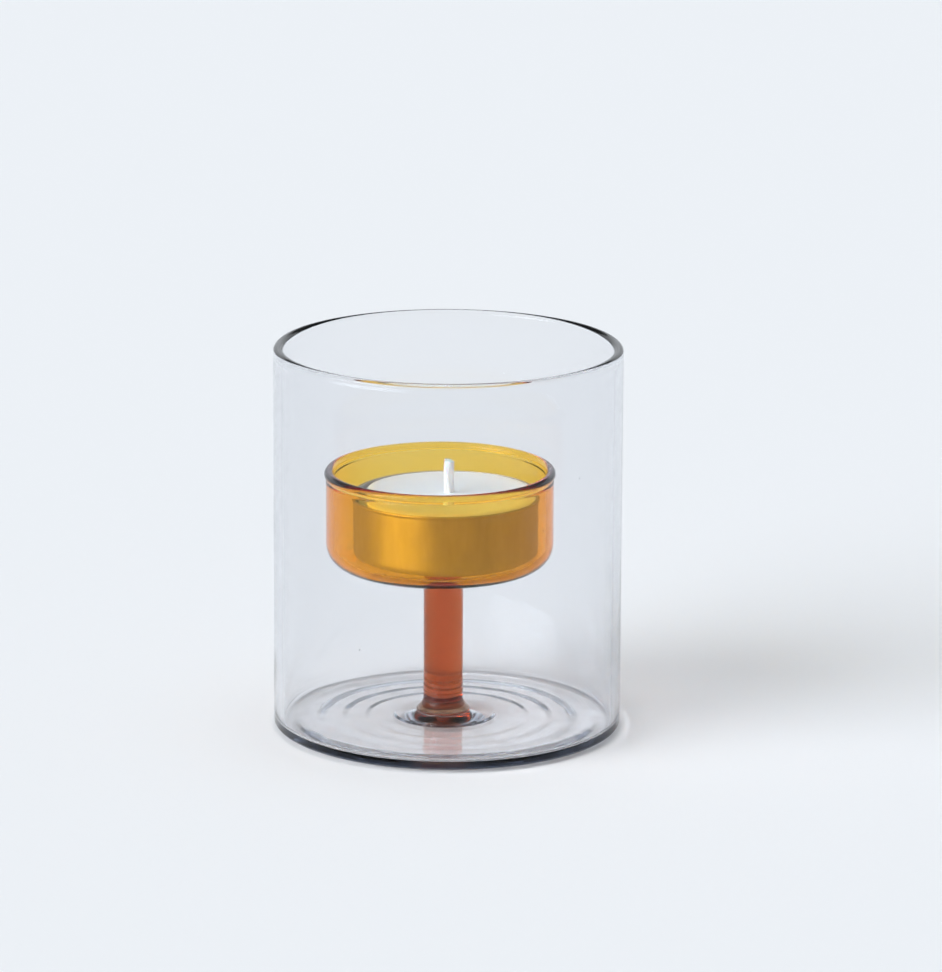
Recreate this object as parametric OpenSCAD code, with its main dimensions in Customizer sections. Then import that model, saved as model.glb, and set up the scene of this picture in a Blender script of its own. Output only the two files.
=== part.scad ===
// Tealight holder: an amber glass cup on a rust-coloured glass stem inside a clear glass tumbler.
// A tealight in an aluminium cup stands loose in the amber cup.
// Millimetres, +Z up. The origin is on the standing surface, on the tumbler's axis.

/* [Tumbler] */
// Outside diameter of the tumbler
tumbler_d = 71; // [68:0.5:76]
// Height of the tumbler from the standing surface to its rim
tumbler_h = 79.4; // [72:0.1:90]
// Thickness of the tumbler's wall
tumbler_wall = 1.9; // [1.5:0.1:2.4]
// Thickness of the fire-polished rim, a little more than the wall
rim_bead = 2.1; // [1.6:0.1:2.6]
// Thickness of the floor at its edge
floor_t = 2.2; // [1.8:0.1:3]
// Rounding of the outer bottom corner
base_round = 2.6; // [1.5:0.1:4]
// Rounding between the floor and the wall inside
floor_fillet = 1.1; // [0.6:0.1:2]
// Radius of the shallow hollow under the base; the tumbler stands on the ring around it
hollow_r = 28; // [22:1:29]
// Depth of that hollow at its centre
hollow_depth = 0.4; // [0.2:0.1:0.8]

/* [Foot button] */
// Radius of the clear glass button that joins the stem to the floor
button_r = 9.8; // [8:0.1:12]
// Thickness of the button at its rounded edge
button_t = 0.7; // [0.5:0.1:1]
// Radius of the collar where the button climbs the stem's foot
collar_r = 5.75; // [5.7:0.05:6.2]
// Radius of the hollow sweep from the button's top up to the collar
collar_sweep = 1.4; // [0.8:0.1:1.6]
// How far the button sits from the tumbler's axis along X
button_shift = -0.5; // [-1:0.1:0]

/* [Stem] */
// Diameter of the stem
stem_d = 8.1; // [7:0.1:8.4]
// Radius of the stem's spread foot
foot_r = 5.45; // [5:0.05:5.5]
// Height of the foot's straight side
foot_h = 1.7; // [1.4:0.1:2]
// Height over which the foot narrows to the stem
foot_taper = 1.2; // [0.8:0.1:2]
// Depth of clear glass between the foot and the tumbler's floor
foot_lift = 0.45; // [0.2:0.05:0.6]
// How far the stem sits from the tumbler's axis along X
stem_shift = -0.83; // [-1.2:0.01:0]

/* [Amber cup] */
// Outside diameter of the cup's body
cup_d = 46.4; // [46:0.1:50]
// Outside diameter of the cup's flared lip
cup_lip_d = 47.1; // [46.6:0.1:51]
// Height of the cup's underside above the standing surface
cup_z = 33.7; // [28:0.1:36]
// Height of the cup
cup_h = 20.4; // [18:0.1:24]
// Thickness of the cup's wall and floor
cup_wall = 1.7; // [1.4:0.1:2]
// Rounding of the cup's outer bottom corner
cup_round = 5; // [4:0.1:6]
// How far the cup sits from the tumbler's axis along X
cup_shift = -1.65; // [-2:0.05:0]

/* [Tealight] */
// Outside diameter of the metal cup at its rolled rim
tealight_d = 38.3; // [37.5:0.1:38.5]
// Height of the metal cup
tealight_h = 13.4; // [12:0.1:16]
// Thickness of the metal
foil_t = 0.25; // [0.2:0.05:0.3]
// Radius of the rolled rim
roll_r = 0.3; // [0.25:0.05:0.35]
// Rounding of the metal cup's bottom corner
foil_round = 2.2; // [1.8:0.1:2.6]
// How far the tealight sits from the tumbler's axis along X
tealight_shift = -0.5; // [-1:0.05:0]

/* [Candle] */
// Gap between the wax and the metal wall
wax_gap = 0.3; // [0.25:0.05:0.5]
// Height of the wax
wax_h = 13.4; // [12:0.1:14]
// Radius of the flat top of the wax, inside its sloping edge
wax_top_r = 16.4; // [15:0.1:17]
// Height of the sloping edge of the wax
wax_bevel_h = 1.1; // [0.5:0.1:2]
// Diameter of the wick
wick_d = 2.2; // [1.6:0.1:2.6]
// Length of wick standing above the wax
wick_out = 7; // [4:0.5:10]
// Slant of the wick's cut end, in degrees
wick_cut = 12; // [0:1:20]
// How far the wick stands from the tealight's axis along X
wick_shift = 0.7; // [0:0.1:1.2]
// Radius of the steel disc that holds the wick
disc_r = 6; // [5:0.5:8]
// Thickness of the steel disc and of its neck
disc_t = 0.3; // [0.2:0.05:0.4]
// Height of the neck crimped round the wick
neck_h = 3; // [2:0.5:5]

/* [Hidden] */
$fn = 96;

tumbler_r = tumbler_d / 2;
bore_r = tumbler_r - tumbler_wall;
// The side of the hollow slopes in to this radius, where it levels off
hollow_flat_r = hollow_r - 3.5;

button_edge = button_t - 0.1;
button_flat_r = button_r - button_edge;
// Centre of the hollow sweep, in the button's outline
sweep_x = collar_r + collar_sweep;
sweep_z = button_t + collar_sweep;

stem_r = stem_d / 2;
stem_z = floor_t + foot_lift;
stem_h = cup_z - stem_z;

cup_r = cup_d / 2;
cup_bore_r = cup_r - cup_wall;
lip_r = (cup_lip_d / 2 - cup_bore_r) / 2;
cup_fillet = cup_round - cup_wall;

tealight_z = cup_z + cup_wall;
foil_r = tealight_d / 2 - roll_r;
candle_z = tealight_z + foil_t;
wax_r = foil_r - foil_t - wax_gap;
wax_round = foil_round - foil_t;
wax_top_z = candle_z + wax_h;
wick_x = tealight_shift + wick_shift;
wick_r = wick_d / 2;
wick_z = candle_z + disc_t;
wick_h = wax_top_z + wick_out - wick_z;

// Half outline of a round block of height h with a rounded bottom corner
module rounded_block(r, h, corner) {
    translate([0, corner]) square([r, h - corner]);
    square([r - corner, h]);
    translate([r - corner, corner]) circle(corner);
}

module at(x, z) {
    translate([x, 0, z]) children();
}

// Straight-sided tumbler with a thickened rim and a shallow hollow underneath
module tumbler() {
    color([0.86, 0.89, 0.90, 0.4])
    difference() {
        rotate_extrude() {
            difference() {
                rounded_block(tumbler_r, tumbler_h - rim_bead / 2, base_round);
                translate([0, floor_t]) rounded_block(bore_r, tumbler_h, floor_fillet);
            }
            translate([tumbler_r - rim_bead / 2, tumbler_h - rim_bead / 2]) circle(d = rim_bead);
        }
        cylinder(r1 = hollow_r, r2 = hollow_flat_r, h = hollow_depth);
    }
}

// Clear glass button whose top sweeps up into a collar round the stem's foot
module foot_button() {
    color([0.82, 0.86, 0.90, 0.5])
    difference() {
        at(button_shift, floor_t) rotate_extrude() {
            square([button_flat_r, button_t]);
            intersection() {
                translate([button_flat_r, button_t - button_edge]) circle(button_edge);
                square([button_r, button_t]);
            }
            difference() {
                square([sweep_x, sweep_z]);
                translate([sweep_x, sweep_z]) circle(collar_sweep);
            }
        }
        stem_solid();
    }
}

// Solid rod with a spread foot
module stem_solid() {
    at(stem_shift, stem_z) rotate_extrude() polygon([
        [0, 0], [foot_r, 0], [foot_r, foot_h], [stem_r, foot_h + foot_taper],
        [stem_r, stem_h], [0, stem_h]
    ]);
}

module stem() {
    color([0.68, 0.31, 0.17]) stem_solid();
}

// Straight-sided cup with a rounded bottom and a lip that flares a little
module cup() {
    color([0.93, 0.62, 0.18, 0.8])
    at(cup_shift, cup_z) rotate_extrude() {
        difference() {
            rounded_block(cup_r, cup_h - lip_r, cup_round);
            translate([0, cup_wall]) rounded_block(cup_bore_r, cup_h, cup_fillet);
        }
        translate([cup_bore_r + lip_r, cup_h - lip_r]) circle(lip_r);
    }
}

// Pressed metal cup of the tealight, with a rolled rim
module tealight_cup() {
    color([0.78, 0.78, 0.79])
    at(tealight_shift, tealight_z) rotate_extrude() {
        difference() {
            rounded_block(foil_r, tealight_h - roll_r, foil_round);
            translate([0, foil_t]) rounded_block(foil_r - foil_t, tealight_h, foil_round - foil_t);
        }
        translate([foil_r, tealight_h - roll_r]) circle(roll_r);
    }
}

// Wax with a sloping top edge, cast round the wick and its sustainer
module wax() {
    color([0.95, 0.96, 0.96])
    difference() {
        at(tealight_shift, candle_z) rotate_extrude() {
            rounded_block(wax_r, wax_h - wax_bevel_h, wax_round);
            translate([0, wax_h - wax_bevel_h])
                polygon([[0, 0], [wax_r, 0], [wax_top_r, wax_bevel_h], [0, wax_bevel_h]]);
        }
        at(wick_x, candle_z) cylinder(r = disc_r, h = disc_t);
        at(wick_x, candle_z) cylinder(r = wick_r + disc_t, h = disc_t + neck_h);
        at(wick_x, candle_z) cylinder(r = wick_r, h = wax_h + wick_out);
    }
}

// Round wick with a slanted cut at the top
module wick() {
    color([0.97, 0.97, 0.95])
    at(wick_x, wick_z) difference() {
        cylinder(r = wick_r, h = wick_h);
        translate([0, 0, wick_h - wick_r * tan(wick_cut)])
            rotate([0, wick_cut, 0])
                translate([-wick_d, -wick_d, 0]) cube(2 * wick_d);
    }
}

// Steel disc with a neck that grips the wick
module wick_sustainer() {
    color([0.62, 0.62, 0.63])
    at(wick_x, candle_z) {
        cylinder(r = disc_r, h = disc_t);
        difference() {
            cylinder(r = wick_r + disc_t, h = disc_t + neck_h);
            translate([0, 0, disc_t]) cylinder(r = wick_r, h = neck_h + 1);
        }
    }
}

tumbler();
foot_button();
stem();
cup();
tealight_cup();
wax();
wick();
wick_sustainer();
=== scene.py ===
"""Tealight holder: an amber glass cup on a rust-coloured glass stem inside a clear glass tumbler.

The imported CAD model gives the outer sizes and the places. Each glass piece is turned as a fine lathe mesh
with the ripples, beads and small unevenness of hand-made glass, and is tinted by absorption inside it. All
lengths are in metres.
"""

import math

import bmesh
import bpy
from mathutils import Matrix, Vector, noise


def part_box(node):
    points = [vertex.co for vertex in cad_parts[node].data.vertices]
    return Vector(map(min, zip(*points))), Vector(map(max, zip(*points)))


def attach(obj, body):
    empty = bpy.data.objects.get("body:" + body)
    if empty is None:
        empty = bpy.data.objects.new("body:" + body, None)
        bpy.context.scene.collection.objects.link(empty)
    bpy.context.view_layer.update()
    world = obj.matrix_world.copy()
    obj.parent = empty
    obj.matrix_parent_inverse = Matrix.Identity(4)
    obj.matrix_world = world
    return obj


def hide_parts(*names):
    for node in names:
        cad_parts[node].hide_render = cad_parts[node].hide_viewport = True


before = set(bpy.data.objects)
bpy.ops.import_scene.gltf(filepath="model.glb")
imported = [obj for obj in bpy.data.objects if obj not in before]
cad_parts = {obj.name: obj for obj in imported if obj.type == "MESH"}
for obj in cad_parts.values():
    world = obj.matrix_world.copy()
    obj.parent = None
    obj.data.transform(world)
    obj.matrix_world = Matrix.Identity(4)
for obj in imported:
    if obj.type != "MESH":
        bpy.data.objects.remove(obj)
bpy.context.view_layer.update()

MM = 0.001
# Faces round a lathe mesh
SEGMENTS = 256
# Fused glass pieces run this far into each other, so that light passes between them as through one body
FUSE = 0.03 * MM
# How fast the unevenness of a piece changes along its height
WAVES_A_METRE = 40


# ---------------------------------------------------------------- measures read from the frame


def middle_x(node):
    low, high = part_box(node)
    return (low.x + high.x) / 2


def outer_radius(node):
    low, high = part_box(node)
    return (high.x - low.x) / 2


def bottom(node):
    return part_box(node)[0].z


def top(node):
    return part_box(node)[1].z


# ---------------------------------------------------------------- outlines


def levels(start, end, steps):
    """Values after start up to end, evenly spaced."""
    return [start + (end - start) * i / steps for i in range(1, steps + 1)]


def line(start, end, steps):
    """Points after start up to end, evenly spaced."""
    return list(zip(levels(start[0], end[0], steps), levels(start[1], end[1], steps)))


def arc(centre, radius, first, last, steps):
    """Points round a centre, from angle first to angle last in degrees, both ends included."""
    angles = [math.radians(first + (last - first) * i / steps) for i in range(steps + 1)]
    return [(centre[0] + radius * math.cos(a), centre[1] + radius * math.sin(a)) for a in angles]


def smooth(low, high, value):
    """0 below low, 1 above high, and a soft curve between them."""
    t = min(1.0, max(0.0, (value - low) / (high - low)))
    return t * t * (3 - 2 * t)


def bell(centre, width, value):
    """A hump of height 1 at centre that fades out over width on each side."""
    return math.exp(-(((value - centre) / width) ** 2))


def still(radius, height, angle):
    """No movement, for a piece that is turned true."""
    return 0.0, 0.0


def lathe(name, rings, wobble=still, segments=SEGMENTS):
    """Turns rings of (radius, height, centre x) into a closed smooth mesh.

    wobble gives how far a point at (radius, height, angle) moves outwards and upwards.
    """
    bm = bmesh.new()
    loops = []
    for radius, height, centre in rings:
        if radius <= 0:
            loops.append([bm.verts.new((centre, 0, height))])
            continue
        loop = []
        for i in range(segments):
            angle = 2 * math.pi * i / segments
            out, up = wobble(radius, height, angle)
            x = centre + (radius + out) * math.cos(angle)
            y = (radius + out) * math.sin(angle)
            loop.append(bm.verts.new((x, y, height + up)))
        loops.append(loop)
    for a, b in zip(loops, loops[1:]):
        for i in range(segments):
            j = (i + 1) % segments
            if len(a) == 1:
                bm.faces.new((a[0], b[i], b[j]))
            elif len(b) == 1:
                bm.faces.new((a[i], b[0], a[j]))
            else:
                bm.faces.new((a[i], b[i], b[j], a[j]))
    bmesh.ops.recalc_face_normals(bm, faces=bm.faces)
    return finished(name, bm)


def finished(name, bm):
    """A smooth-shaded object from a bmesh."""
    mesh = bpy.data.meshes.new(name)
    bm.to_mesh(mesh)
    bm.free()
    mesh.shade_smooth()
    piece = bpy.data.objects.new(name, mesh)
    bpy.context.scene.collection.objects.link(piece)
    return piece


def uneven(angle, height, scale, seed):
    """Slow unevenness round and along a piece, between about -1 and 1, which closes on itself.

    scale sets how fast it changes round the piece, and each seed gives another pattern.
    """
    along = height * WAVES_A_METRE
    return noise.noise(Vector((math.cos(angle) * scale, math.sin(angle) * scale, along + seed)))


def add_seeds(piece, seeds):
    """Adds tiny tall air bubbles, given as (x, y, z, radius), as hollows in a glass mesh."""
    tall = Matrix.Diagonal((1, 1, 1.6, 1))
    bm = bmesh.new()
    bm.from_mesh(piece.data)
    for x, y, z, radius in seeds:
        shape = Matrix.Translation((x, y, z)) @ tall
        made = bmesh.ops.create_icosphere(bm, subdivisions=2, radius=radius, matrix=shape)
        faces = {f for v in made["verts"] for f in v.link_faces}
        bmesh.ops.reverse_faces(bm, faces=list(faces))
    bm.to_mesh(piece.data)
    bm.free()
    piece.data.shade_smooth()


# ---------------------------------------------------------------- clear glass: tumbler and foot button

TUMBLER_R = outer_radius("tumbler")
TUMBLER_H = top("tumbler")
WALL = 1.9 * MM
BORE = TUMBLER_R - WALL
# The rim is a bead of this radius, a little thicker than the wall, and thins to it over the given height
RIM = 1.05 * MM
RIM_BLEND = 1.5 * MM
# The outer bottom corner is a quarter of an ellipse, wider than it is high
BASE_ROUND = 3.4 * MM
BASE_RISE = 1.4 * MM
# Inside, the floor dips by the moat's depth over its width, next to the rounding at the wall
FLOOR = bottom("foot_button")
FILLET = 1.0 * MM
MOAT = 0.35 * MM
MOAT_W = 3.5 * MM
FLOOR_EDGE = BORE - FILLET

STEM_X = middle_x("stem")
STEM_FOOT = outer_radius("stem")
STEM_R = 4.05 * MM
STEM_LOW = bottom("stem")
# The foot is straight up to this height, then sweeps in along a curve of this power to the rod's lower end
FOOT_STRAIGHT = 0.8 * MM
FOOT_CURVE = 1.6
ROD_LOW = STEM_LOW + 2.9 * MM

# The mound of clear glass starts with a small step, over a share of its width, and climbs to a collar
# round the stem's foot
BUTTON_X = middle_x("foot_button")
MOUND_R = outer_radius("foot_button") + 0.9 * MM
MOUND_STEP = 0.16 * MM
STEP_SHARE = 0.16
MOUND_TOP = 3.1 * MM
COLLAR_R = 5.5 * MM

# The hollow underneath is this deep where it is deepest, and a share less at its centre
DOME = 0.6 * MM
CENTRE_DIP = 0.3
HOLLOW_R = 27.5 * MM
# Pressed steps in the underside, going down outwards: middle radius, half width and depth
STEPS = (
    (16.4 * MM, 0.8 * MM, 0.12 * MM),
    (21.0 * MM, 1.0 * MM, 0.18 * MM),
    (25.8 * MM, 1.4 * MM, 0.3 * MM),
)
# Height of the random waves in the floor's top
WAVE = 0.06 * MM
# Height of the slow unevenness of the wall
WALL_UNEVEN = 0.03 * MM


def stem_radius(height):
    """The stem's radius: a straight foot that sweeps in to a straight rod."""
    sweep = STEM_LOW + FOOT_STRAIGHT
    rise = min(1.0, max(0.0, (height - sweep) / (ROD_LOW - sweep)))
    return STEM_R + (STEM_FOOT - STEM_R) * (1 - rise) ** FOOT_CURVE


def underside(radius):
    """Height of the tumbler's underside: a ring to stand on, round a shallow stepped hollow."""
    height = DOME * (1 - CENTRE_DIP * (1 - smooth(0, 10 * MM, radius)))
    for middle, half, depth in STEPS:
        height -= depth * smooth(middle - half, middle + half, radius)
    return max(0.0, height)


def top_ripple(radius, angle):
    """How far the floor's top is raised by its rings and its random waves."""
    turn = 1.2 * MM * uneven(angle, 0, 1.3, 3)
    ripple = math.cos((radius + turn) / (1.4 * MM)) * 0.008 * MM
    spot = Vector((radius * math.cos(angle), radius * math.sin(angle), 0.7 * MM))
    wave = WAVE * noise.noise(spot / (5 * MM))
    inside = smooth(MOUND_R, MOUND_R + 3 * MM, radius)
    edge = 1 - smooth(FLOOR_EDGE - 3 * MM, FLOOR_EDGE - 0.3 * MM, radius)
    return (ripple * (0.7 + 0.5 * uneven(angle, 0, 1.1, 8)) + wave) * inside * edge


def under_ripple(radius, angle):
    """How far the floor's underside is raised by its rings, inside the hollow only."""
    turn = 1.2 * MM * uneven(angle, 0, 1.3, 3)
    ripple = math.cos((radius + turn) / (1.3 * MM)) * 0.006 * MM
    hollow = 1 - smooth(HOLLOW_R - 1.5 * MM, HOLLOW_R, radius)
    centre = smooth(2 * MM, 9 * MM, radius)
    return ripple * hollow * centre * (0.8 + 0.5 * uneven(angle, 0, 1.2, 5))


def tumbler_wobble(radius, height, angle):
    """Ripples in the floor and a slight unevenness of the wall, which never passes the CAD radius."""
    if height < FLOOR + FILLET and radius < FLOOR_EDGE:
        ripple = top_ripple if height > FLOOR * 0.6 else under_ripple
        return 0.0, ripple(radius, angle)
    if height < FLOOR + 4 * MM:
        return 0.0, 0.0
    rise = smooth(FLOOR + 4 * MM, FLOOR + 15 * MM, height)
    if radius > BORE + WALL / 2:
        return WALL_UNEVEN * rise * (uneven(angle, height, 1.1, 1) - 1), 0.0
    return WALL_UNEVEN * rise * uneven(angle, height, 1.1, 2), 0.0


def tumbler_outline():
    """From the middle of the underside round the rim and down the bore to the floor's edge."""
    flat = TUMBLER_R - BASE_ROUND
    profile = [(0, underside(0))]
    profile += [(r, underside(r)) for r in levels(0, flat, 150)]
    corner = arc((0, 0), 1, -90, 0, 24)[1:]
    profile += [(flat + BASE_ROUND * out, BASE_RISE * (1 + up)) for out, up in corner]
    profile += line(profile[-1], (TUMBLER_R, TUMBLER_H - RIM), 60)
    profile += arc((TUMBLER_R - RIM, TUMBLER_H - RIM), RIM, 0, 180, 18)[1:]
    bead = TUMBLER_R - 2 * RIM
    for z in levels(TUMBLER_H - RIM, TUMBLER_H - RIM - RIM_BLEND, 10):
        profile.append((bead + (BORE - bead) * smooth(0, RIM_BLEND, TUMBLER_H - RIM - z), z))
    corner_z = FLOOR - MOAT + FILLET
    profile += line(profile[-1], (BORE, corner_z), 60)
    profile += arc((FLOOR_EDGE, corner_z), FILLET, 0, -90, 10)[1:]
    return profile


def clear_glass_rings():
    """The tumbler with its floor, the mound on it and the pocket that holds the stem's foot."""
    rings = [(r, z, 0) for r, z in tumbler_outline()]
    for r in levels(FLOOR_EDGE, MOUND_R, 130):
        z = FLOOR - MOAT * smooth(FLOOR_EDGE - MOAT_W, FLOOR_EDGE, r)
        rings.append((r, z, BUTTON_X * (FLOOR_EDGE - r) / (FLOOR_EDGE - MOUND_R)))
    for r in levels(MOUND_R, COLLAR_R, 48):
        share = (MOUND_R - r) / (MOUND_R - COLLAR_R)
        step = MOUND_STEP * smooth(0, STEP_SHARE, share)
        z = FLOOR + step + (MOUND_TOP - MOUND_STEP - FLOOR) * share**2
        rings.append((r, z, BUTTON_X + (STEM_X - BUTTON_X) * share))
    inner = stem_radius(MOUND_TOP) - FUSE
    rings += [(r, MOUND_TOP, STEM_X) for r in levels(COLLAR_R, inner, 4)]
    pocket = STEM_LOW + FUSE
    rings += [(stem_radius(z) - FUSE, z, STEM_X) for z in levels(MOUND_TOP, pocket, 12)]
    rings += [(r, pocket, STEM_X) for r in levels(stem_radius(pocket) - FUSE, 0, 8)]
    return rings


def on_wall(radius, degrees, height, size, centre=0.0):
    """A seed at an angle round a wall; 0 degrees is +X and -90 degrees is the front."""
    a = math.radians(degrees)
    return centre + radius * math.cos(a), radius * math.sin(a), height, size


def make_clear_glass():
    """The tumbler and the mound on its floor as one body of glass, with a few seeds."""
    piece = lathe("tumbler_glass", clear_glass_rings(), tumbler_wobble)
    middle = TUMBLER_R - WALL / 2
    add_seeds(
        piece,
        [
            on_wall(middle, -169, 71 * MM, 0.16 * MM),
            on_wall(middle, -120, 24 * MM, 0.12 * MM),
            on_wall(middle, -62, 63 * MM, 0.10 * MM),
            on_wall(middle, 35, 47 * MM, 0.14 * MM),
            on_wall(middle, 100, 30 * MM, 0.12 * MM),
            on_wall(middle, 160, 58 * MM, 0.11 * MM),
            on_wall(21 * MM, -40, 1.2 * MM, 0.15 * MM),
            on_wall(17 * MM, 70, 1.3 * MM, 0.13 * MM),
        ],
    )
    return piece


# ---------------------------------------------------------------- rust glass: stem

CUP_X = middle_x("cup")
CUP_LOW = bottom("cup")
CUP_TOP = top("cup")


def stem_rings():
    """The rod, from its spread foot up to a small spread where it meets the cup."""
    edge = 0.15 * MM
    profile = [(0, STEM_LOW)]
    profile += line((0, STEM_LOW), (STEM_FOOT - edge, STEM_LOW), 6)
    profile += arc((STEM_FOOT - edge, STEM_LOW + edge), edge, -60, 0, 3)
    profile += [(stem_radius(z), z) for z in levels(STEM_LOW + 0.2 * MM, ROD_LOW, 20)]
    joint = CUP_LOW + FUSE
    for z in levels(ROD_LOW, joint, 70):
        spread = 0.5 * MM * smooth(joint - 1.1 * MM, joint, z) ** 2
        profile.append((STEM_R + spread, z))
    profile += line(profile[-1], (0, joint), 6)
    return [(r, z, STEM_X) for r, z in profile]


def stem_wobble(radius, height, angle):
    """A rod that is a little uneven towards the middle of its height."""
    middle = bell((STEM_LOW + CUP_LOW) / 2, 12 * MM, height)
    return 0.05 * MM * middle * uneven(angle, height, 0.6, 11), 0.0


# ---------------------------------------------------------------- amber glass: cup

LIP_R = outer_radius("cup")
CUP_R = 23.2 * MM
CUP_WALL = 1.7 * MM
CUP_ROUND = 5 * MM
LIP = 0.98 * MM
CUP_BORE = CUP_R - CUP_WALL
CUP_FLOOR = CUP_LOW + CUP_WALL
CUP_FILLET = CUP_ROUND - CUP_WALL
FLARE_H = 1.1 * MM
LIP_BLEND = 2 * MM


def cup_rings():
    """A rounded cup with a lip that flares above a shallow groove."""
    flat = CUP_R - CUP_ROUND
    lip_low = CUP_TOP - LIP
    flare_low = lip_low - FLARE_H
    profile = [(0, CUP_LOW)]
    profile += line((0, CUP_LOW), (flat, CUP_LOW), 30)
    profile += arc((flat, CUP_LOW + CUP_ROUND), CUP_ROUND, -90, 0, 20)[1:]
    profile += line(profile[-1], (CUP_R, flare_low), 24)
    for z in levels(flare_low, lip_low, 10):
        flare = smooth(flare_low, lip_low, z)
        groove = 0.1 * MM * bell(flare_low, 0.7 * MM, z)
        profile.append((CUP_R + (LIP_R - CUP_R) * flare - groove, z))
    profile += arc((LIP_R - LIP, lip_low), LIP, 0, 180, 16)[1:]
    inner = LIP_R - 2 * LIP
    for z in levels(lip_low, lip_low - LIP_BLEND, 6):
        profile.append((inner + (CUP_BORE - inner) * smooth(0, LIP_BLEND, lip_low - z), z))
    profile += line(profile[-1], (CUP_BORE, CUP_FLOOR + CUP_FILLET), 24)
    profile += arc((CUP_BORE - CUP_FILLET, CUP_FLOOR + CUP_FILLET), CUP_FILLET, 0, -90, 14)[1:]
    profile += line(profile[-1], (0, CUP_FLOOR), 30)
    return [(r, z, CUP_X) for r, z in profile]


def cup_wobble(radius, height, angle):
    """Slightly uneven walls, and a lip that dips a little in places."""
    if radius < CUP_R - CUP_ROUND - 0.5 * MM:
        return 0.0, 0.0
    side = 21 if radius > CUP_BORE + CUP_WALL / 2 else 22
    rise = smooth(CUP_LOW + 4 * MM, CUP_LOW + 9 * MM, height)
    lip = smooth(CUP_TOP - 4 * MM, CUP_TOP - LIP, height)
    out = 0.06 * MM * rise * uneven(angle, height, 1.4, side)
    return out, -0.08 * MM * lip * (1 + uneven(angle, 0, 0.8, 24))


def make_cup():
    """The cup with a few seeds in its wall."""
    piece = lathe("amber_cup", cup_rings(), cup_wobble)
    middle = CUP_R - CUP_WALL / 2
    add_seeds(
        piece,
        [
            on_wall(middle, -25, 43.5 * MM, 0.14 * MM, CUP_X),
            on_wall(middle, -118, 37 * MM, 0.12 * MM, CUP_X),
            on_wall(middle, 75, 46 * MM, 0.12 * MM, CUP_X),
            on_wall(middle, 190, 41 * MM, 0.13 * MM, CUP_X),
        ],
    )
    return piece


# ---------------------------------------------------------------- tealight: metal cup, wax and wick

TEALIGHT_X = middle_x("tealight_cup")
SHELL_LOW = bottom("tealight_cup")
SHELL_TOP = top("tealight_cup")
ROLL = 0.3 * MM
FOIL = 0.25 * MM
SHELL_R = outer_radius("tealight_cup") - ROLL
SHELL_ROUND = 2.2 * MM


def shell_rings():
    """A thin pressed cup with a rounded bottom corner and a rolled rim."""
    flat = SHELL_R - SHELL_ROUND
    inside = SHELL_R - FOIL
    hem = (SHELL_R, SHELL_TOP - ROLL)
    profile = [(0, SHELL_LOW)]
    profile += line((0, SHELL_LOW), (flat, SHELL_LOW), 40)
    profile += arc((flat, SHELL_LOW + SHELL_ROUND), SHELL_ROUND, -90, 0, 12)[1:]
    profile += line(profile[-1], (SHELL_R, SHELL_TOP - 2.2 * ROLL), 30)
    profile += arc(hem, ROLL, -40, 180, 18)
    profile += line(profile[-1], (inside, SHELL_TOP - 2.4 * ROLL), 3)
    profile += line(profile[-1], (inside, SHELL_LOW + SHELL_ROUND), 24)
    profile += arc((flat, SHELL_LOW + SHELL_ROUND), SHELL_ROUND - FOIL, 0, -90, 10)[1:]
    profile += line(profile[-1], (0, SHELL_LOW + FOIL), 30)
    return [(r, z, TEALIGHT_X) for r, z in profile]


def shell_wobble(radius, height, angle):
    """Small pleats where the metal is drawn round the bottom corner, and stamped rings in its floor."""
    if radius < SHELL_R - SHELL_ROUND:
        ring = 0.12 * MM * (bell(12 * MM, 0.8 * MM, radius) + bell(9 * MM, 0.7 * MM, radius))
        return 0.0, ring if height < SHELL_LOW + 0.1 * MM else 0.0
    corner = bell(SHELL_LOW + 1.2 * MM, 1.6 * MM, height)
    pleat = math.cos(96 * angle) * (0.6 + uneven(angle, height, 3, 31))
    dent = uneven(angle, height * 0.4, 2.2, 33)
    side = 1 - smooth(SHELL_TOP - 3 * MM, SHELL_TOP - 1 * MM, height)
    return (0.03 * pleat * corner + 0.05 * dent * side) * MM - 0.05 * MM * corner, 0.0


WAX_LOW = bottom("wax")
WAX_TOP = top("wax")
WAX_R = outer_radius("wax")
WAX_CORNER = 1.95 * MM
WAX_X = TEALIGHT_X + 0.1 * MM
WICK_X = middle_x("wick")
WICK_R = outer_radius("wick")
WICK_TOP = top("wick")
DISC_R = outer_radius("wick_sustainer")
DISC_T = 0.3 * MM
STRANDS = 5
STRAND_PITCH = 7 * MM
WICK_CUT = math.radians(12)


def wax_rings():
    """The wax, with a slight hollow from cooling and an edge that rounds off towards the metal."""
    slope_r = 16.8 * MM
    slope_h = 0.3 * MM
    edge = 0.4 * MM
    level = WAX_TOP - 0.05 * MM
    shoulder = WAX_TOP - slope_h - 0.3 * MM
    profile = [(0, WAX_LOW + DISC_T)]
    profile += line(profile[0], (DISC_R, WAX_LOW + DISC_T), 12)
    profile += line(profile[-1], (DISC_R + 0.05 * MM, WAX_LOW), 2)
    profile += line(profile[-1], (WAX_R - WAX_CORNER, WAX_LOW), 16)
    profile += arc((WAX_R - WAX_CORNER, WAX_LOW + WAX_CORNER), WAX_CORNER, -90, 0, 10)[1:]
    profile += line(profile[-1], (WAX_R, shoulder), 16)
    profile += arc((WAX_R - edge, shoulder), edge, 0, 60, 5)[1:]
    for r in levels(profile[-1][0], slope_r, 14):
        profile.append((r, level - slope_h * smooth(slope_r, WAX_R + 0.2 * MM, r) ** 1.2))
    for r in levels(slope_r, 0, 60):
        dish = 0.12 * MM * (1 - smooth(4 * MM, slope_r, r))
        profile.append((r, level - dish))
    return [(r, z, WAX_X) for r, z in profile]


def wax_gap(angle):
    """How far the wax has shrunk from the metal: a wide gap at the left and a narrow one at the right."""
    return bell(math.pi * 1.02, 0.55, angle) + 0.35 * bell(0.22, 0.12, angle)


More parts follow.
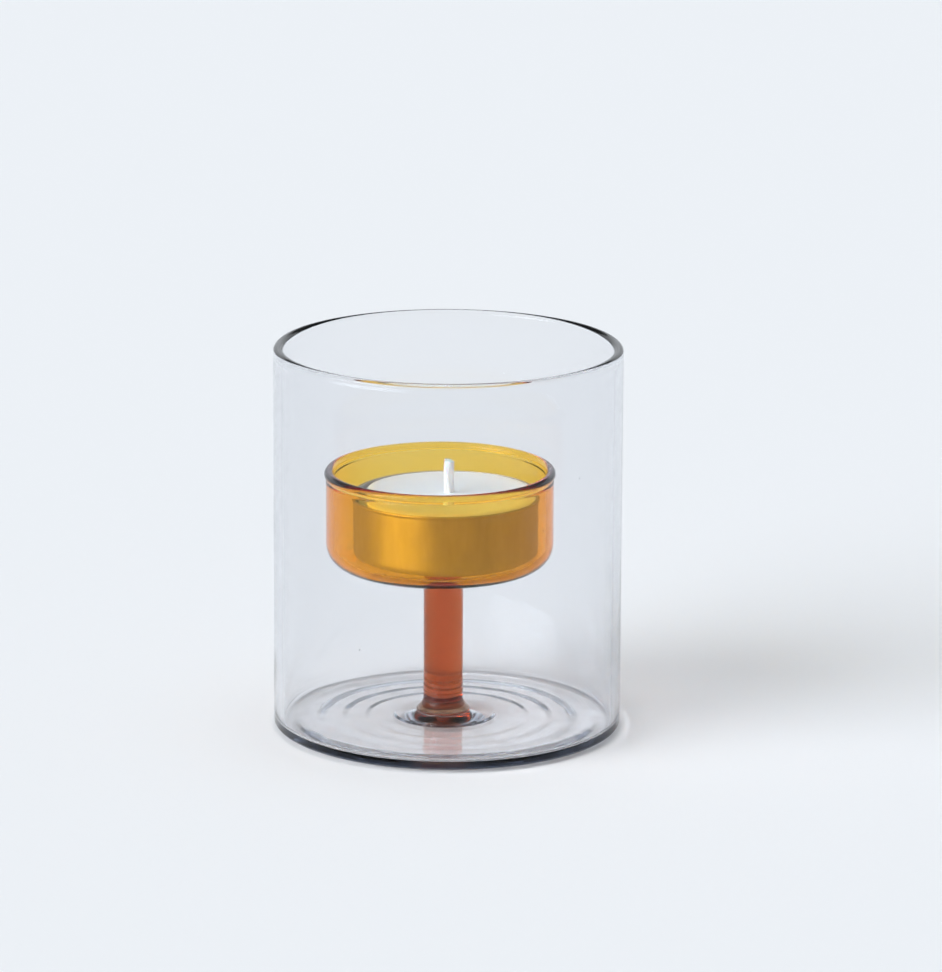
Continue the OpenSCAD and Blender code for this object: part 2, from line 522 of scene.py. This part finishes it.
def wax_wobble(radius, height, angle):
    """An uneven top that climbs the wick and reaches the metal rim except where it has shrunk."""
    if height < WAX_TOP - 2.5 * MM:
        return 0.0, 0.0
    x = TEALIGHT_X + radius * math.cos(angle)
    y = radius * math.sin(angle)
    near = math.hypot(x - WICK_X, y)
    climb = 0.25 * MM * math.exp(-max(0.0, near - WICK_R) / (0.4 * MM))
    swell = 0.05 * MM * noise.noise(Vector((x * 160, y * 160, 4)))
    gap = wax_gap(angle)
    rim = smooth(15 * MM, 18.2 * MM, radius)
    edge = 0.1 * MM * uneven(angle, 0, 2.4, 41) * smooth(13 * MM, 16 * MM, radius) * (1 - rim)
    return edge + rim * (0.1 - 1.9 * gap) * MM, climb + swell - 0.5 * MM * gap * rim


def wick_rings():
    """A round rod with a softly rounded top edge."""
    low = WAX_LOW + DISC_T
    side = WICK_R - 0.1 * MM
    high = WICK_TOP - 0.35 * MM
    edge = 0.3 * MM
    profile = [(0, low)] + line((0, low), (side, low), 4)
    profile += line((side, low), (side, high), 150)
    profile += arc((side - edge, high), edge, 0, 90, 5)[1:]
    profile += line(profile[-1], (0, WICK_TOP - 0.05 * MM), 5)
    return [(r, z, WICK_X) for r, z in profile]


def wick_wobble(radius, height, angle):
    """Two sets of strands wound in opposite ways, and a slanted cut at the top."""
    cut = smooth(WAX_LOW + DISC_T, WICK_TOP, height) ** 8
    down = -math.tan(WICK_CUT) * (radius * math.cos(angle) + WICK_R) * cut
    if radius < 0.5 * WICK_R:
        return 0.0, down
    turn = 2 * math.pi / STRAND_PITCH * height
    one = math.cos(STRANDS * angle + turn)
    two = math.cos(STRANDS * angle - turn)
    return 0.07 * MM * max(one, two), down


# ---------------------------------------------------------------- materials

# How much of its face-on reflection the glass keeps, as behind a polarising filter. Grazing ones all stay.
FACE_ON = 0.3


def new_material(name):
    """A material with its nodes, links and main shader."""
    material = bpy.data.materials.new(name)
    material.use_nodes = True
    nodes = material.node_tree.nodes
    shader = nodes["Principled BSDF"]
    return material, nodes, material.node_tree.links, shader


def object_noise(nodes, links, scale, detail=3.0, stretch=(1, 1, 1)):
    """A noise texture fixed to the object. scale is in cycles a metre."""
    place = nodes.new("ShaderNodeTexCoord")
    mapping = nodes.new("ShaderNodeMapping")
    mapping.inputs["Scale"].default_value = stretch
    texture = nodes.new("ShaderNodeTexNoise")
    texture.inputs["Scale"].default_value = scale
    texture.inputs["Detail"].default_value = detail
    links.new(place.outputs["Object"], mapping.inputs["Vector"])
    links.new(mapping.outputs["Vector"], texture.inputs["Vector"])
    return texture


def mapped(nodes, links, source, given, wanted, kind="LINEAR"):
    """Maps values from the given range, a pair, to the wanted one."""
    node = nodes.new("ShaderNodeMapRange")
    node.interpolation_type = kind
    node.inputs["From Min"].default_value = given[0]
    node.inputs["From Max"].default_value = given[1]
    node.inputs["To Min"].default_value = wanted[0]
    node.inputs["To Max"].default_value = wanted[1]
    links.new(source, node.inputs["Value"])
    return node.outputs["Result"]


def uneven_roughness(nodes, links, texture, shader, low, high):
    """Varies the roughness from low to high with a noise, which stays near its middle."""
    roughness = mapped(nodes, links, texture.outputs["Fac"], (0.3, 0.7), (low, high))
    links.new(roughness, shader.inputs["Roughness"])


def tones(nodes, links, texture, shader, dark, light):
    """Varies the base colour between two tones with a noise."""
    blend = nodes.new("ShaderNodeValToRGB")
    blend.color_ramp.elements[0].color = (*dark, 1)
    blend.color_ramp.elements[1].color = (*light, 1)
    links.new(texture.outputs["Fac"], blend.inputs["Fac"])
    links.new(blend.outputs["Color"], shader.inputs["Base Color"])


def bump(nodes, links, texture, shader, depth, strength=1.0):
    """Raises the surface with a noise. depth is its height in metres."""
    node = nodes.new("ShaderNodeBump")
    node.inputs["Distance"].default_value = depth
    node.inputs["Strength"].default_value = strength
    links.new(texture.outputs["Fac"], node.inputs["Height"])
    links.new(node.outputs["Normal"], shader.inputs["Normal"])


def glass(name, absorbed, wave=0.004 * MM):
    """Polished glass tinted in its depth. absorbed is its absorption per metre for red, green and blue."""
    material, nodes, links, shader = new_material(name)
    shader.inputs["Specular Tint"].default_value = (FACE_ON, FACE_ON, FACE_ON, 1)
    shader.inputs["Base Color"].default_value = (1, 1, 1, 1)
    shader.inputs["Transmission Weight"].default_value = 1
    shader.inputs["IOR"].default_value = 1.5
    smears = object_noise(nodes, links, 70, 4)
    uneven_roughness(nodes, links, smears, shader, 0.0, 0.012)
    waves = object_noise(nodes, links, 160, 1, (1, 1, 0.5))
    bump(nodes, links, waves, shader, wave)
    # The shader absorbs its density times what its colour lacks, and this density keeps each colour above 0
    volume = nodes.new("ShaderNodeVolumeAbsorption")
    density = 1.25 * max(absorbed)
    volume.inputs["Density"].default_value = density
    volume.inputs["Color"].default_value = (*[1 - a / density for a in absorbed], 1)
    links.new(volume.outputs["Volume"], nodes["Material Output"].inputs["Volume"])
    return material


def aluminium():
    """Pressed foil with fine upright streaks, which spread its highlights up and down."""
    material, nodes, links, shader = new_material("pressed_aluminium")
    shader.inputs["Metallic"].default_value = 1
    shader.inputs["Anisotropic"].default_value = 0.6
    shader.inputs["Anisotropic Rotation"].default_value = 0.25
    cloudy = object_noise(nodes, links, 260, 3, (1, 1, 0.25))
    tones(nodes, links, cloudy, shader, (0.50, 0.50, 0.51), (0.66, 0.66, 0.66))
    streaks = object_noise(nodes, links, 900, 2, (1, 1, 0.3))
    uneven_roughness(nodes, links, streaks, shader, 0.56, 0.66)
    bump(nodes, links, streaks, shader, 0.003 * MM, 0.5)
    return material


def wax():
    """White wax with faint clouds, a fine grain and light that spreads inside it."""
    material, nodes, links, shader = new_material("candle_wax")
    clouds = object_noise(nodes, links, 180, 4)
    tones(nodes, links, clouds, shader, (0.81, 0.85, 0.875), (0.9, 0.92, 0.93))
    uneven_roughness(nodes, links, clouds, shader, 0.38, 0.55)
    shader.inputs["Subsurface Weight"].default_value = 0.6
    shader.inputs["Subsurface Radius"].default_value = (1.0, 0.9, 0.8)
    shader.inputs["Subsurface Scale"].default_value = 1.6 * MM
    shader.inputs["IOR"].default_value = 1.44
    grain = object_noise(nodes, links, 1400, 5)
    bump(nodes, links, grain, shader, 0.02 * MM, 0.6)
    return material


def wick_cotton():
    """Waxed cotton with fibres that run along the wick."""
    material, nodes, links, shader = new_material("wick_cotton")
    fibres = object_noise(nodes, links, 5000, 3, (1, 1, 0.2))
    tones(nodes, links, fibres, shader, (0.68, 0.71, 0.76), (0.82, 0.84, 0.86))
    shader.inputs["Roughness"].default_value = 0.7
    shader.inputs["Subsurface Weight"].default_value = 0.3
    shader.inputs["Subsurface Scale"].default_value = 0.5 * MM
    shader.inputs["Sheen Weight"].default_value = 0.2
    bump(nodes, links, fibres, shader, 0.03 * MM, 0.8)
    return material


def steel():
    """Rolled steel with fine scratches in one direction."""
    material, nodes, links, shader = new_material("sustainer_steel")
    shader.inputs["Metallic"].default_value = 1
    shader.inputs["Base Color"].default_value = (0.6, 0.6, 0.61, 1)
    rolled = object_noise(nodes, links, 2200, 3, (1, 0.08, 1))
    uneven_roughness(nodes, links, rolled, shader, 0.25, 0.5)
    bump(nodes, links, rolled, shader, 0.01 * MM, 0.6)
    return material


# ---------------------------------------------------------------- put the pieces together


def dress(piece, material, body, slot, *nodes):
    """Gives a piece its material, lets it ride on its body and hides its CAD nodes."""
    piece.data.materials.append(material)
    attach(piece, body)
    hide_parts(*nodes)


clear = glass("clear_glass", (36, 33, 27))
rust = glass("rust_glass", (79, 297, 506), wave=0.008 * MM)
amber = glass("amber_glass", (5, 228, 1250), wave=0.006 * MM)

dress(make_clear_glass(), clear, "holder", "clear_glass", "tumbler", "foot_button")
dress(lathe("rust_stem", stem_rings(), stem_wobble, 128), rust, "holder", "rust_glass", "stem")
dress(make_cup(), amber, "holder", "amber_glass", "cup")
shell = lathe("foil_cup", shell_rings(), shell_wobble, 768)
dress(shell, aluminium(), "tealight_shell", "pressed_foil", "tealight_cup")
dress(lathe("wax_block", wax_rings(), wax_wobble), wax(), "candle", "candle_wax", "wax")
braid = lathe("braided_wick", wick_rings(), wick_wobble, 64)
dress(braid, wick_cotton(), "candle", "wick_cotton", "wick")
# The disc under the wick keeps its CAD shape
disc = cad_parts["wick_sustainer"]
disc.data.materials.clear()
disc.data.materials.append(steel())


# ---------------------------------------------------------------- floor, light and camera

FLOOR_SIZE = 30.0
# The floor lies this far under the holder, so that the two don't share a face
FLOOR_SINK = 0.05 * MM
PALE = (0.847, 0.885, 0.93)
CEILING = 1.08
# The soft light on the left: its strength and direction, the angle up to which it is full, and where it ends
KEY = 12.0
KEY_AT = (-0.78, -0.5, 0.28)
KEY_FULL = math.radians(6)
KEY_GONE = math.radians(32)


def make_floor():
    """A wide, plain, matt floor."""
    bm = bmesh.new()
    size = FLOOR_SIZE
    corners = [(-size, -size), (size, -size), (size, size), (-size, size)]
    bm.faces.new([bm.verts.new((x, y, -FLOOR_SINK)) for x, y in corners])
    floor = finished("studio_floor", bm)
    material, nodes, links, shader = new_material("studio_floor")
    shader.inputs["Base Color"].default_value = (0.84, 0.84, 0.84, 1)
    shader.inputs["Roughness"].default_value = 1
    shader.inputs["Specular IOR Level"].default_value = 0
    floor.data.materials.append(material)


def surround(nodes, links, height):
    """Half the sky's brightness by height, since the stops of a colour ramp stay within 1."""
    node = nodes.new("ShaderNodeValToRGB")
    node.color_ramp.interpolation = "EASE"
    stops = [(0.17, 0.5), (0.24, 0.65), (0.33, 0.65), (0.44, 0.08), (0.66, 0.08), (0.86, CEILING / 2)]
    elements = node.color_ramp.elements
    for _ in stops[2:]:
        elements.new(0.5)
    for element, (place, value) in zip(elements, stops):
        element.position = place
        element.color = (value, value, value, 1)
    links.new(height, node.inputs["Fac"])
    return node.outputs["Color"]


def key_light(nodes, links, direction, height):
    """A soft round light on the left, cut off towards the horizon."""
    towards = nodes.new("ShaderNodeVectorMath")
    towards.operation = "DOT_PRODUCT"
    towards.inputs[1].default_value = Vector(KEY_AT).normalized()
    links.new(direction, towards.inputs[0])
    cosines = (math.cos(KEY_GONE), math.cos(KEY_FULL))
    key = mapped(nodes, links, towards.outputs["Value"], cosines, (0, KEY), "SMOOTHSTEP")
    above = mapped(nodes, links, height, (0.15, 0.24), (0, 1), "SMOOTHSTEP")
    lit = nodes.new("ShaderNodeMath")
    lit.operation = "MULTIPLY"
    links.new(key, lit.inputs[0])
    links.new(above, lit.inputs[1])
    return lit.outputs["Value"]


def make_world():
    """A pale surround that brightens upwards, then a dim ring, a bright ceiling and the key light."""
    world = bpy.data.worlds.new("studio")
    bpy.context.scene.world = world
    world.use_nodes = True
    nodes, links = world.node_tree.nodes, world.node_tree.links
    background = nodes["Background"]
    direction = nodes.new("ShaderNodeTexCoord").outputs["Generated"]
    parts = nodes.new("ShaderNodeSeparateXYZ")
    links.new(direction, parts.inputs["Vector"])
    height = parts.outputs["Z"]

    total = nodes.new("ShaderNodeMath")
    total.operation = "MULTIPLY_ADD"
    links.new(surround(nodes, links, height), total.inputs[0])
    total.inputs[1].default_value = 2
    links.new(key_light(nodes, links, direction, height), total.inputs[2])
    background.inputs["Color"].default_value = (*PALE, 1)
    links.new(total.outputs["Value"], background.inputs["Strength"])


def make_camera():
    """A long lens a little above the object, aimed just beside and above its middle, with a slight roll."""
    elevation = math.radians(14.72)
    roll = math.radians(0.31)
    distance = 1.103
    aside = 0.0047
    raised = 0.0108
    middle = Vector((0, 0, 0.039))
    back = Vector((0, -math.cos(elevation), math.sin(elevation)))
    up = Vector((0, math.sin(elevation), math.cos(elevation)))
    place = middle + distance * back
    aim = middle + Vector((aside, 0, 0)) + raised * up
    data = bpy.data.cameras.new("camera")
    data.lens = 200.4
    data.clip_end = 100
    camera = bpy.data.objects.new("camera", data)
    turn = (aim - place).to_track_quat("-Z", "Y").to_matrix().to_4x4()
    camera.matrix_world = Matrix.Translation(place) @ turn @ Matrix.Rotation(roll, 4, "Z")
    bpy.context.scene.collection.objects.link(camera)
    bpy.context.scene.camera = camera


def set_render():
    """Enough bounces for light to cross many walls of glass."""
    scene = bpy.context.scene
    scene.view_settings.view_transform = "Standard"
    scene.cycles.max_bounces = 32
    scene.cycles.transmission_bounces = 32
    scene.cycles.glossy_bounces = 12
    scene.cycles.blur_glossy = 0


make_floor()
make_world()
make_camera()
set_render()
